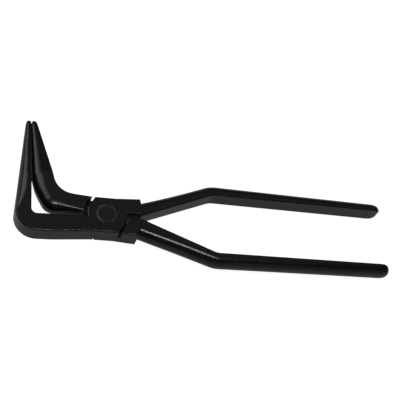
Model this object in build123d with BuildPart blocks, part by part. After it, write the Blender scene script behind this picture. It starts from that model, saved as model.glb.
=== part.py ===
from build123d import *
import os
from math import atan2, cos, hypot, radians, sin, sqrt

# Lap-joint bending tongs: two forged halves turning on one flush rivet.
# Frame: the pivot axis is Z through the origin, Z = 0 is the underside,
# +X runs to the handle ends and +Y to the beak tips. All lengths in mm.
# "side" is +1 for the outer half (handle at +Y) and -1 for the inner half.

# ---- head and lap joint -------------------------------------------------
thickness = 14.4            # head, arms and grips, top face to underside
lap_gap = 0.10              # air between the two lap faces
edge_r = 1.1                # broken edges of the forged blanks
boss_r = 14.3               # round edge of each plate, on the jaw side
recess_r = 17.2             # recess wall round it, in the other half's arm
plate_r = 15.9              # round edge of each plate, on the handle side
plate_turn = 34.0           # angle at which both edges go straight, degrees
wall_r = 16.7               # wall of the handle block facing that edge
wall_turn = 24.0            # angle at which the wall goes straight, degrees
front_y = 15.1              # edge of the head on the outer arm's side
back_y = 13.7               # edge of the head on the inner arm's side
block_x = {1: 25.6, -1: 23.2}   # shoulder corner of the handle block, for each side
block_flare = 1.3           # how far the block widens to its shoulder
crotch_y = 1.9              # inner face of the block, from the centre plane

# ---- rivet --------------------------------------------------------------
shank_r = 4.5
head_r = 7.6
head_depth = 3.0            # from the face of the tool to the shank
head_rim = 0.4              # straight rim of the flush head
rivet_fit = 0.04            # radial air round the rivet
rim_break = 0.2             # broken edge of the head

# ---- handles ------------------------------------------------------------
handle_x, handle_y = 28.3, 1.9      # start of the flat inner face
spread_angle = 22.4         # first leg, from the X axis
leg_length = 56.4
bend_r = 13.0               # bend, measured on the inner face
grip_angle = -0.4           # second leg, from the X axis
end_x = 223.3               # end of the handle
root_depth = {1: 12.1, -1: 13.6}    # inner face to outer side, for each side
leg_depth = {1: 10.3, -1: 11.4}     # half way along the first leg
bend_depth = 9.7
grip_depth = 8.9            # half way along the grip
end_depth = 8.2
root_height, bend_height = 13.2, 13.6
back_round = 6.4            # rounding of the outer side of the handle
cap_length = 8.5            # rounded end
cap_power = 2.6             # its fullness: 2 is an ellipse
cap_steps = (0, 0.35, 0.65, 0.85, 0.96, 1)      # its sections, as shares of its length
cap_end = 0.25              # size of the last section, as a share of the first
cap_inset = 0.4             # share of the lost depth that is lost on the inner side
root_overlap = 2.0          # how far the handle starts inside the block

# ---- beaks --------------------------------------------------------------
tip_y = 79.0                # both beak tips
tip_width, tip_height = 3.6, 4.6
tip_length = 4.0            # rounded tip
tip_steps = (0, 0.45, 0.75, 0.93, 1)            # its sections, as shares of its length
tip_end = 0.2               # size of the last section, as a share of the first
straight_y = 28.3           # both beaks are straight cones from here
tip_gap = 0.12              # air between the tips when closed

# ---- outer jaw: points of its plan, from the plate back to the boss ------
root_x, gap_x = -65.8, -54.3        # beak root, back and flat gap face
gap_lean = 1.4              # how far the gap face has moved out at the tip
round_y, cone_y = -2.6, 14.0        # where the back begins to round, and is round
half_round = (4.5, 0.3)             # a place between them, and the share of its height rounded there
back_rounding = 6.6                 # rounding of the beak's back
front_arm = ((-10.0, -15.1), (-38.0, -17.6), (root_x, -18.6))
front_slot = ((gap_x, -3.9), (-34.0, -3.3))
front_boss_y = -2.7
outside_r, inside_r = 16.4, 4.2     # right-angle bend

# ---- inner jaw: points of its plan, in the same order --------------------
back_arm = ((-11.0, 13.8), (-22.0, 14.6))
back_corner, back_bend = (-35.8, 16.2), 15.0
neck_gap = (-53.9, straight_y)      # the neck is cut square to its gap side here
neck_bulge, bulge_bend = (-51.4, 17.3), 40.0
gap_corner, gap_bend = (-43.6, 1.6), 10.0
crown = (6.3, 1.8, 14.0, 5.0)       # inner gap side: run and drop of its slope, radii at its two ends
run_start = (-36.0, 1.6)    # where that crown begins to run out along the arm
back_slot = (-29.0, 1.6)
run_end = (-17.0, 1.2)      # where it has run out
run_middle = 0.6            # share of the crown left at back_slot
strip_width = 9.8           # width of the separately made, crowned gap side
strip_overlap = 1.5

mid = thickness / 2


def rounded(width, height, near_r, far_r):
    """A rectangle with one radius on its near corners and another on its far corners."""
    with BuildSketch(Plane.XY) as profile:
        Rectangle(width, height, align=(Align.MIN, Align.CENTER))
        fillet(profile.vertices().group_by(Axis.X)[0], near_r)
        fillet(profile.vertices().group_by(Axis.X)[-1], far_r)
    return profile.sketch


def crowned(width, height, near_r, sizes):
    """The same with its far side sloping off above and below: a crown's four sizes."""
    run, drop, slope_r, far_r = sizes
    top = height / 2
    with BuildSketch(Plane.XY) as profile:
        with BuildLine():
            Polyline((0, -top), (width - run, -top), (width, drop - top), (width, top - drop),
                     (width - run, top), (0, top), close=True)
        make_face()
        for point, radius in (((0, top), near_r), ((width, top - drop), far_r), ((width - run, top), slope_r)):
            for flip in (1, -1):
                fillet(profile.vertices().sort_by_distance((point[0], flip * point[1]))[0], radius)
    return profile.sketch


def limb(stations):
    """Loft through sections: (near, far, height, near_r, far_r) each; far_r may be a crown's four sizes."""
    sections = []
    for near, far, height, near_r, far_r in stations:
        dx, dy = far[0] - near[0], far[1] - near[1]
        plane = Plane(origin=(near[0], near[1], mid), x_dir=(dx, dy, 0), z_dir=(dy, -dx, 0))
        shape = crowned if isinstance(far_r, tuple) else rounded
        sections.append(plane * shape(hypot(dx, dy), height, near_r, far_r))
    with BuildPart() as body:
        loft(sections=sections, ruled=len(sections) == 2)
    return body.part


def on_circle(radius, y):
    return sqrt(radius**2 - y**2)


def tangent(radius, turn, y):
    """Where the circle is left at the angle turn, and where that tangent reaches y."""
    angle = radians(turn)
    return ((radius * cos(angle), radius * sin(angle)),
            ((radius - y * sin(angle)) / cos(angle), y))


def blank(side, arm, boss_y, bends):
    """Plan of one half: plate, handle block, then the arm's points back to the boss."""
    back_edge, arm_edge = (back_y, front_y) if side > 0 else (front_y, back_y)

    def at(x, y):
        return (x, side * y)

    boss_start = (-on_circle(boss_r, boss_y), boss_y)
    boss_end, boss_corner = tangent(boss_r, plate_turn, back_edge)
    plate_top = at(on_circle(plate_r, crotch_y), crotch_y)
    plate_end, plate_corner = tangent(plate_r, plate_turn, arm_edge)
    with BuildSketch() as plan:
        with BuildLine():
            ThreePointArc(boss_start, (-on_circle(boss_r, boss_y), -boss_y), at(-boss_end[0], boss_end[1]))
            Polyline(at(-boss_end[0], boss_end[1]), at(-boss_corner[0], back_edge), at(boss_r / 2, back_edge),
                     at(block_x[side], back_edge + block_flare), at(handle_x, handle_y), plate_top)
            ThreePointArc(plate_top, at(plate_r, 0), at(plate_end[0], -plate_end[1]))
            Polyline(at(plate_end[0], -plate_end[1]), at(plate_corner[0], -arm_edge), *arm, boss_start)
        make_face()
        for point, radius in bends:
            fillet(plan.vertices().sort_by_distance(point)[0], radius)
    return plan.sketch


def pocket(side):
    """Plan of the space in which the other half's plate turns."""
    reach = 2 * boss_r
    wall_end, wall_top = tangent(wall_r, wall_turn, reach)
    foot_x = on_circle(wall_r, 2 * crotch_y)

    def at(x, y):
        return (x, side * y)

    with BuildSketch() as plan:
        with BuildLine():
            CenterArc((0, 0), recess_r, 90, 180)
            Line((0, -recess_r), (0, recess_r))
        make_face()
        with BuildLine():
            ThreePointArc(at(foot_x, -2 * crotch_y), at(wall_r, 0), at(*wall_end))
            Polyline(at(*wall_end), at(*wall_top), at(0, reach), at(0, -reach),
                     at(foot_x, -reach), at(foot_x, -2 * crotch_y))
        make_face()
    return plan.sketch


def handle(side):
    """First leg, bend and grip of one handle, as three bodies that share faces."""
    spread, turned = radians(spread_angle), radians(grip_angle)

    def station(x, y, angle, inset, depth, height, near_r=edge_r, far_r=back_round):
        nx, ny = -sin(angle), cos(angle)
        return ((x + inset * nx, side * (y + inset * ny)),
                (x + (inset + depth) * nx, side * (y + (inset + depth) * ny)), height, near_r, far_r)

    def leg_point(along):
        return handle_x + along * cos(spread), handle_y + along * sin(spread)

    leg_x, leg_y = leg_point(leg_length)
    leg = limb([station(*leg_point(-root_overlap), spread, 0, root_depth[side], root_height),
                station(*leg_point(leg_length / 2), spread, 0, leg_depth[side], (root_height + bend_height) / 2),
                station(leg_x, leg_y, spread, 0, bend_depth, bend_height)])
    centre = (leg_x + bend_r * sin(spread), leg_y - bend_r * cos(spread))
    with BuildPart() as bend:
        end_face = leg.faces().sort_by(Axis.X)[-1]
        revolve(end_face, axis=Axis((centre[0], side * centre[1], 0), (0, 0, -side)),
                revolution_arc=spread_angle - grip_angle)
    start_x, start_y = centre[0] - bend_r * sin(turned), centre[1] + bend_r * cos(turned)
    length = (end_x - start_x) / cos(turned)

    def grip_point(along):
        return start_x + along * cos(turned), start_y + along * sin(turned)

    straight = length - cap_length
    grip = limb([station(start_x, start_y, turned, 0, bend_depth, bend_height),
                 station(*grip_point(straight / 2), turned, 0, grip_depth, (bend_height + thickness) / 2),
                 station(*grip_point(straight), turned, 0, end_depth, thickness)])
    cap = []
    for along in cap_steps:
        full = max((1 - along**cap_power) ** (1 / cap_power), cap_end)
        depth = end_depth * full
        cap.append(station(*grip_point(straight + along * cap_length), turned, cap_inset * (end_depth - depth),
                           depth, thickness * full, edge_r * full, back_round * full))
    return leg, bend.part, grip, limb(cap)


def taper(y, root_y, root, tip):
    """Straight taper from root at root_y to tip at the beak's tip."""
    return root + (tip - root) * max(0, (y - root_y) / (tip_y - root_y))


def scaled(size, share):
    """One size, or each of a crown's four sizes, times share."""
    return tuple(share * part for part in size) if isinstance(size, tuple) else share * size


def beak(back, gap, rows):
    """Sections across a beak; rows give y and the shares of the height that are rounded."""
    return [((back(y), y), (gap(y), y), beak_height(y), back_share * beak_height(y),
             scaled(gap_share, beak_height(y))) for y, back_share, gap_share in rows]


def beak_height(y):
    return taper(y, straight_y, thickness, tip_height)


def rounded_tip(back, gap, back_share, gap_share):
    """Sections that shrink about the middle of the beak's end."""
    stations = []
    for along in tip_steps:
        full = max(sqrt(1 - along**2), tip_end)
        y = tip_y - tip_length * (1 - along)
        middle, half, height = (back(y) + gap(y)) / 2, (back(y) - gap(y)) / 2 * full, beak_height(y) * full
        stations.append(((middle + half, y), (middle - half, y), height, back_share * height,
                         scaled(gap_share, height)))
    return stations


def outer_gap(y):
    return taper(y, 0, gap_x, gap_x - gap_lean)


def outer_back(y):
    return taper(y, 0, root_x, gap_x - gap_lean - tip_width)


neck_lean = atan2(neck_bulge[0] - neck_gap[0], neck_gap[1] - neck_bulge[1])
neck_width = ((back_corner[0] - neck_gap[0]) * cos(neck_lean)
              + (back_corner[1] - neck_gap[1]) * sin(neck_lean))


def neck_point(across, beyond=0):
    """A point from the neck's gap side across its square end section, and beyond it."""
    return (neck_gap[0] + across * cos(neck_lean) - beyond * sin(neck_lean),
            neck_gap[1] + across * sin(neck_lean) + beyond * cos(neck_lean))


def inner_gap(y):
    return taper(y, straight_y, neck_gap[0], gap_x - gap_lean + tip_gap)


def inner_back(y):
    neck_x, neck_y = neck_point(neck_width)
    return taper(y, neck_y, neck_x, gap_x - gap_lean + tip_gap + tip_width)


straight_end = tip_y - tip_length
edge_share, round_share = edge_r / thickness, back_rounding / thickness
crown_share = scaled(crown, 1 / thickness)

# ---- outer half: outer jaw, upper plate, handle at +Y --------------------
stub_y = 2 * inside_r       # the blank runs past the beak's root and is trimmed
back_trim = 0.8             # share of the root's width that is trimmed from round_y on
with BuildPart() as outer_jaw_half:
    add(blank(1, (*front_arm, (root_x, stub_y), (gap_x, stub_y), *front_slot), front_boss_y,
              ((front_arm[-1], outside_r), (front_slot[0], inside_r))))
    extrude(amount=thickness)
    for rim in (0, -1):
        fillet(outer_jaw_half.edges().group_by(Axis.Z)[rim], edge_r)
    with BuildSketch():
        with Locations((root_x - edge_r, round_y)):
            Rectangle((gap_x - root_x) * back_trim, 2 * stub_y, align=(Align.MIN, Align.MIN))
        with Locations((root_x - edge_r, 0)):
            Rectangle(2 * (gap_x - root_x), 2 * stub_y, align=(Align.MIN, Align.MIN))
    extrude(amount=thickness, mode=Mode.SUBTRACT)
    add(pocket(1))
    extrude(amount=mid + lap_gap / 2, mode=Mode.SUBTRACT)
    for body in handle(1):
        add(body)
    add(limb(beak(outer_back, outer_gap, ((round_y, edge_share, edge_share), (*half_round, edge_share),
                                          (cone_y, round_share, edge_share)))))
    for start, end in ((cone_y, straight_y), (straight_y, straight_end)):
        add(limb(beak(outer_back, outer_gap, ((start, round_share, edge_share), (end, round_share, edge_share)))))
    add(limb(rounded_tip(outer_back, outer_gap, round_share, edge_share)))

# ---- inner half: inner jaw, lower plate, handle at -Y --------------------
strip_foot, strip_head = (run_start[0], run_start[1] + strip_width), neck_point(strip_width)
with BuildPart() as gap_strip:
    with BuildSketch():
        with BuildLine():
            FilletPolyline(neck_gap, neck_bulge, gap_corner, run_start, radius=(bulge_bend, gap_bend))
            Polyline(run_start, strip_foot, strip_head, neck_gap)
        make_face()
    extrude(amount=thickness)
    for rim in (0, -1):
        face = gap_strip.faces().sort_by(Axis.Z)[rim]
        chamfer(face.edges().filter_by(GeomType.CIRCLE), length=crown[0], length2=crown[1], reference=face)
    for level in (1, 2):
        fillet(gap_strip.edges().filter_by(GeomType.CIRCLE).group_by(Axis.Z)[level], crown[3])
    for level in (0, -1):
        fillet(gap_strip.edges().filter_by(GeomType.CIRCLE).group_by(Axis.Z)[level], crown[2])

stub = 2 * edge_r           # the blank runs past the neck's end and is trimmed
with BuildPart() as inner_jaw_half:
    add(blank(-1, (*back_arm, back_corner, neck_point(neck_width, stub), neck_point(0, stub),
                   (neck_gap[0], run_end[1])), run_end[1], ((back_corner, back_bend),)))
    extrude(amount=thickness)
    for rim in (0, -1):
        fillet(inner_jaw_half.edges().group_by(Axis.Z)[rim], edge_r)
    with BuildSketch():
        with BuildLine():
            Polyline(neck_point(2 * neck_width), strip_head, strip_foot, (run_end[0], run_end[1] + strip_width),
                     (run_end[0], -strip_width), (root_x, -strip_width), neck_point(-strip_width, 2 * neck_width),
                     neck_point(2 * neck_width, 2 * neck_width), close=True)
        make_face()
    extrude(amount=thickness, mode=Mode.SUBTRACT)
    add(gap_strip.part)
    stations = [((x, y + strip_width + strip_overlap), (x, y), thickness, edge_r, scaled(crown, share))
                for (x, y), share in ((run_start, 1), (back_slot, run_middle), (run_end, edge_r / crown[0]))]
    for pair in (stations[:2], stations[1:]):
        add(limb(pair))
    with BuildSketch(Plane.XY.offset(mid - lap_gap / 2)):
        add(pocket(-1))
    extrude(amount=thickness, mode=Mode.SUBTRACT)
    for body in handle(-1):
        add(body)
    neck_end = (neck_point(neck_width), neck_gap, thickness, edge_r, crown)
    add(limb([neck_end, *beak(inner_back, inner_gap, ((straight_end, edge_share, crown_share),))]))
    add(limb(rounded_tip(inner_back, inner_gap, edge_share, crown_share)))

# ---- rivet ---------------------------------------------------------------


def rivet_outline(grow):
    """Half section of the rivet, grown by the fit for the hole it sits in."""
    with BuildSketch(Plane.XZ) as outline:
        with BuildLine():
            Polyline((0, 0), (head_r + grow, 0), (head_r + grow, head_rim), (shank_r + grow, head_depth),
                     (shank_r + grow, thickness - head_depth), (head_r + grow, thickness - head_rim),
                     (head_r + grow, thickness), (0, thickness), close=True)
        make_face()
    return outline.sketch


for half in (outer_jaw_half, inner_jaw_half):
    with half:
        add(rivet_outline(rivet_fit))
        revolve(axis=Axis.Z, mode=Mode.SUBTRACT)
        Box(4 * end_x, end_x, thickness, align=(Align.CENTER, Align.CENTER, Align.MIN), mode=Mode.INTERSECT)
with BuildPart() as pivot_rivet:
    add(rivet_outline(0))
    revolve(axis=Axis.Z)
    chamfer(pivot_rivet.edges().filter_by(GeomType.CIRCLE).group_by(Axis.Z)[0], rim_break)
    chamfer(pivot_rivet.edges().filter_by(GeomType.CIRCLE).group_by(Axis.Z)[-1], rim_break)

os.makedirs("parts", exist_ok=True)
outer_jaw_half.part.label = "outer_jaw_half"
inner_jaw_half.part.label = "inner_jaw_half"
pivot_rivet.part.label = "pivot_rivet"
export_step(outer_jaw_half.part, "parts/outer_jaw_half.step")
export_step(inner_jaw_half.part, "parts/inner_jaw_half.step")
export_step(pivot_rivet.part, "parts/pivot_rivet.step")
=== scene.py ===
import math

import bpy
from mathutils import Matrix, Vector


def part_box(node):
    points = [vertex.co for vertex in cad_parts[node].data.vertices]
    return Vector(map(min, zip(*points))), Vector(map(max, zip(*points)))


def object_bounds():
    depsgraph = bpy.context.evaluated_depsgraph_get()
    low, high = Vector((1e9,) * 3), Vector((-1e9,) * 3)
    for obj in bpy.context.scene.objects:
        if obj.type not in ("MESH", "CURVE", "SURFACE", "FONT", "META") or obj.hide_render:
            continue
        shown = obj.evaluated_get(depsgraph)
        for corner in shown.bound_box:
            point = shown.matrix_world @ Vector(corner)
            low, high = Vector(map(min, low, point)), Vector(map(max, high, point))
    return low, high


# Blackened, lacquered forged tongs on a pale floor. Metres, Z up, the pivot axis through the origin.
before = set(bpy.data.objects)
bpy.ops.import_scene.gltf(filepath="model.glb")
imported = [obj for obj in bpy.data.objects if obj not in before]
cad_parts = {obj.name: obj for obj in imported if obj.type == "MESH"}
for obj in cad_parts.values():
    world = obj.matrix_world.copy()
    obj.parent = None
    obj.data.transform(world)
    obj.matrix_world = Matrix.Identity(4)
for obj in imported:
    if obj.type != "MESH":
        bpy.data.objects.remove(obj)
cad_box = [list(corner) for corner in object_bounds()]
scene = bpy.context.scene
scene.view_settings.view_transform = "Standard"

edge_radius = 0.0011                # broken edge of the forged blanks, which the wear follows
bump_strength, bump_distance = 0.18, 0.0006
lacquer_ior, lacquer_coat, coat_roughness = 1.45, 0.12, 0.16
worn_metallic = 0.8                 # how metallic a place is when worn right through
ring_outer, ring_inner = 0.0006, 0.0014     # the rivet's ring, in from its rim
floor_half, floor_drop = 6.0, 0.0002
floor_bounce, floor_seen = 0.20, 0.95       # glow of the floor on the tool, and to the camera
tool_middle = (0.06, 0.01, 0.0)     # what the lights face


# ---- node helpers ----------------------------------------------------------
class Graph:
    """Adds nodes to a tree and links them by socket name."""

    def __init__(self, tree):
        self.tree = tree
        tree.nodes.clear()

    def add(self, kind, inputs=None, **settings):
        node = self.tree.nodes.new("ShaderNode" + kind)
        for name, value in settings.items():
            setattr(node, name, value)
        for name, value in (inputs or {}).items():
            self.put(node.inputs[name], value)
        return node

    def put(self, socket, value):
        if isinstance(value, bpy.types.NodeSocket):
            self.tree.links.new(value, socket)
        else:
            socket.default_value = value

    def noise(self, vector, scale, detail=3.0, roughness=0.5):
        return self.add("TexNoise", {"Vector": vector, "Scale": scale, "Detail": detail,
                                     "Roughness": roughness}).outputs["Fac"]

    def math(self, operation, a, b=0.0, clamp=False):
        return self.add("Math", {0: a, 1: b}, operation=operation, use_clamp=clamp).outputs[0]

    def remap(self, value, low, high, to_low=0.0, to_high=1.0):
        return self.add("MapRange", {"Value": value, "From Min": low, "From Max": high,
                                     "To Min": to_low, "To Max": to_high}).outputs["Result"]

    def mix_colour(self, fac, a, b):
        node = self.add("Mix", data_type="RGBA")
        self.put(node.inputs["Factor"], fac)
        self.put(node.inputs[6], a)
        self.put(node.inputs[7], b)
        return node.outputs[2]


def grey(level, warmth=0.0):
    return (level * (1 + warmth), level, level * (1 - warmth), 1.0)


def new_material(name):
    material = bpy.data.materials.new(name)
    material.use_nodes = True
    return material, Graph(material.node_tree)


def lacquered(g, colour, worn, roughness, height):
    """Dark steel under a thin lacquer, metallic only where it is worn through."""
    bump = g.add("Bump", {"Height": height, "Strength": bump_strength,
                          "Distance": bump_distance}).outputs["Normal"]
    shader = g.add("BsdfPrincipled", {"Base Color": colour, "Roughness": roughness, "Normal": bump,
                                      "Metallic": g.math("MULTIPLY", worn, worn_metallic),
                                      "IOR": lacquer_ior, "Coat Weight": lacquer_coat,
                                      "Coat Roughness": coat_roughness})
    g.add("OutputMaterial", {"Surface": shader.outputs[0]})


def blackened_steel(name, seed, scratch_angle):
    """Black oxide under a thin lacquer: mottled, faintly hammered, rubbed brighter along its edges."""
    material, g = new_material(name)
    place = g.add("TexCoord").outputs["Object"]
    shift = g.add("Mapping", {"Vector": place, "Location": (seed, 2 * seed, 0.5 * seed)}).outputs[0]
    along = g.add("Mapping", {"Vector": shift, "Rotation": (0, 0, scratch_angle),
                              "Scale": (1, 14, 14)}).outputs[0]

    cloud = g.noise(shift, 45.0, 4.0, 0.6)          # tens of millimetres: tone of the oxide
    mottle = g.noise(shift, 420.0, 5.0, 0.65)       # a few millimetres: scale and dried lacquer
    grain = g.noise(shift, 2600.0, 3.0, 0.6)        # tooth of the surface
    scratches = g.remap(g.noise(along, 900.0, 2.0, 0.7), 0.68, 0.80)

    rounded = g.add("Bevel", {"Radius": edge_radius}, samples=8).outputs["Normal"]
    flat = g.add("NewGeometry").outputs["Normal"]
    turned = g.add("VectorMath", {0: rounded, 1: flat}, operation="DOT_PRODUCT").outputs["Value"]
    edge = g.remap(turned, 0.985, 0.86)
    broken = g.remap(g.math("ADD", mottle, g.math("MULTIPLY", cloud, 0.6)), 0.62, 0.98)
    worn = g.math("MULTIPLY", g.math("MULTIPLY", edge, broken), 0.24, clamp=True)
    worn = g.math("ADD", worn, g.math("MULTIPLY", scratches, 0.05), clamp=True)

    dark = g.mix_colour(g.remap(cloud, 0.3, 0.7), grey(0.0042, 0.04), grey(0.0080, -0.05))
    dusty = g.mix_colour(g.remap(mottle, 0.55, 0.85, 0.0, 0.45), dark, grey(0.020, 0.05))
    colour = g.mix_colour(worn, dusty, grey(0.16, 0.03))
    roughness = g.math("ADD", g.remap(mottle, 0.25, 0.75, 0.21, 0.30), g.math("MULTIPLY", worn, 0.10))
    height = g.math("ADD", g.math("MULTIPLY", cloud, 0.9), g.math("MULTIPLY", mottle, 0.045))
    height = g.math("ADD", height, g.math("MULTIPLY", grain, 0.003))
    height = g.math("SUBTRACT", height, g.math("MULTIPLY", scratches, 0.012))
    lacquered(g, colour, worn, roughness, height)
    return material


def ground_rivet(name):
    """The flush rivet: the same black, ground with the head, with a fine ring rubbed at its rim."""
    material, g = new_material(name)
    place = g.add("TexCoord").outputs["Object"]
    flattened = g.add("Mapping", {"Vector": place, "Scale": (1, 1, 0)}).outputs[0]
    radius = g.add("VectorMath", {0: flattened}, operation="LENGTH").outputs["Value"]
    drawn_out = g.add("Mapping", {"Vector": place, "Scale": (1, 9, 1)}).outputs[0]
    ground = g.noise(drawn_out, 900.0, 3.0, 0.6)            # grinding marks, all one way
    mottle = g.noise(place, 500.0, 5.0, 0.65)
    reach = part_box("pivot_rivet")[1][0]
    rim = g.remap(radius, reach - ring_inner, reach - ring_outer)
    patches = g.noise(place, 130.0, 2.0)                    # the ring is rubbed through in places only
    worn = g.math("MULTIPLY", g.math("MULTIPLY", rim, g.remap(patches, 0.44, 0.60, 0.08, 0.8)),
                  g.remap(mottle, 0.35, 0.65, 0.3, 1.0), clamp=True)
    dark = g.mix_colour(mottle, grey(0.0045), grey(0.0100, 0.04))
    colour = g.mix_colour(worn, dark, grey(0.26, 0.03))
    roughness = g.remap(ground, 0.25, 0.75, 0.28, 0.40)
    height = g.math("ADD", g.math("MULTIPLY", ground, 0.02), g.math("MULTIPLY", mottle, 0.06))
    lacquered(g, colour, worn, roughness, height)
    return material


finishes = {
    "outer_jaw_half": blackened_steel("outer_half_black", 0.0, 0.03),
    "inner_jaw_half": blackened_steel("inner_half_black", 3.7, -0.03),
    "pivot_rivet": ground_rivet("rivet_black"),
}
for node, material in finishes.items():
    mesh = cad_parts[node].data
    mesh.materials.clear()
    mesh.materials.append(material)


# ---- floor -------------------------------------------------------------------
def pale_floor():
    mesh = bpy.data.meshes.new("floor")
    height = cad_box[0][2] - floor_drop
    corners = [(x * floor_half, y * floor_half, height) for x, y in ((-1, -1), (1, -1), (1, 1), (-1, 1))]
    mesh.from_pydata(corners, [], [(0, 1, 2, 3)])
    floor = bpy.data.objects.new("floor", mesh)
    scene.collection.objects.link(floor)
    material, g = new_material("pale_floor")
    mottled = g.noise(g.add("TexCoord").outputs["Object"], 3.0, 2.0)
    seen = g.add("LightPath").outputs["Is Camera Ray"]
    glow = g.remap(seen, 0.0, 1.0, floor_bounce, floor_seen)
    shader = g.add("BsdfPrincipled", {"Base Color": g.mix_colour(mottled, grey(0.36), grey(0.40)),
                                      "Roughness": 0.9, "Specular IOR Level": 0.1,
                                      "Emission Color": grey(1.0), "Emission Strength": glow})
    g.add("OutputMaterial", {"Surface": shader.outputs[0]})
    mesh.materials.append(material)


pale_floor()


# ---- light -------------------------------------------------------------------
def soft_light(name, towards, distance, size, radiance):
    """A rectangular softbox of the given radiance, facing the tool."""
    data = bpy.data.lights.new(name, "AREA")
    data.shape = "RECTANGLE"
    data.size, data.size_y = size
    data.energy = radiance * math.pi * size[0] * size[1]
    light = bpy.data.objects.new(name, data)
    direction = Vector(towards).normalized()
    light.location = Vector(tool_middle) + direction * distance
    light.rotation_mode = "QUATERNION"
    light.rotation_quaternion = direction.to_track_quat("Z", "Y")
    scene.collection.objects.link(light)


soft_light("overhead_box", (0.0, -0.115, 1.0), 1.5, (0.36, 0.20), 23.0)
soft_light("left_box", (-0.54, 0.50, 0.67), 1.6, (0.75, 1.4), 1.7)
soft_light("rear_fill", (0.30, 0.50, 0.80), 1.8, (1.2, 0.9), 0.16)
soft_light("front_fill", (0.25, -0.85, 0.42), 1.8, (1.6, 0.7), 0.22)     # for looking at it from behind


def surroundings():
    """Pale where it is looked at; it lights the tool from a pale horizon and a dim ceiling."""
    world = bpy.data.worlds.new("studio")
    world.use_nodes = True
    scene.world = world
    g = Graph(world.node_tree)
    up = g.add("SeparateXYZ", {0: g.add("TexCoord").outputs["Generated"]}).outputs["Z"]
    dim = g.mix_colour(g.remap(up, 0.10, 0.0), grey(0.03), grey(0.9))
    seen = g.add("LightPath").outputs["Is Camera Ray"]
    background = g.add("Background", {"Color": g.mix_colour(seen, dim, grey(1.0)), "Strength": 1.0})
    g.add("OutputWorld", {"Surface": background.outputs[0]})


surroundings()


# ---- camera --------------------------------------------------------------------
camera_turn, camera_rise, camera_roll = -28.29, 55.62, 29.15        # degrees
camera_target, camera_distance = (0.0765, 0.0273, 0.0), 0.7728


def photo_camera():
    """Looks at the tool from the front left and above, rolled about the line of sight."""
    turn, rise, roll = (math.radians(angle) for angle in (camera_turn, camera_rise, camera_roll))
    back = Vector((math.sin(turn) * math.cos(rise), -math.cos(turn) * math.cos(rise), math.sin(rise)))
    right = Vector((math.cos(turn), math.sin(turn), 0.0))
    up = back.cross(right)
    rolled_right = right * math.cos(roll) + up * math.sin(roll)
    rolled_up = up * math.cos(roll) - right * math.sin(roll)
    data = bpy.data.cameras.new("camera")
    data.sensor_width, data.lens = 36.0, 90.0
    data.clip_start, data.clip_end = 0.05, 40.0
    camera = bpy.data.objects.new("camera", data)
    turned = Matrix((rolled_right, rolled_up, back)).transposed().to_4x4()
    camera.matrix_world = Matrix.Translation(Vector(camera_target) + back * camera_distance) @ turned
    scene.collection.objects.link(camera)
    scene.camera = camera


photo_camera()
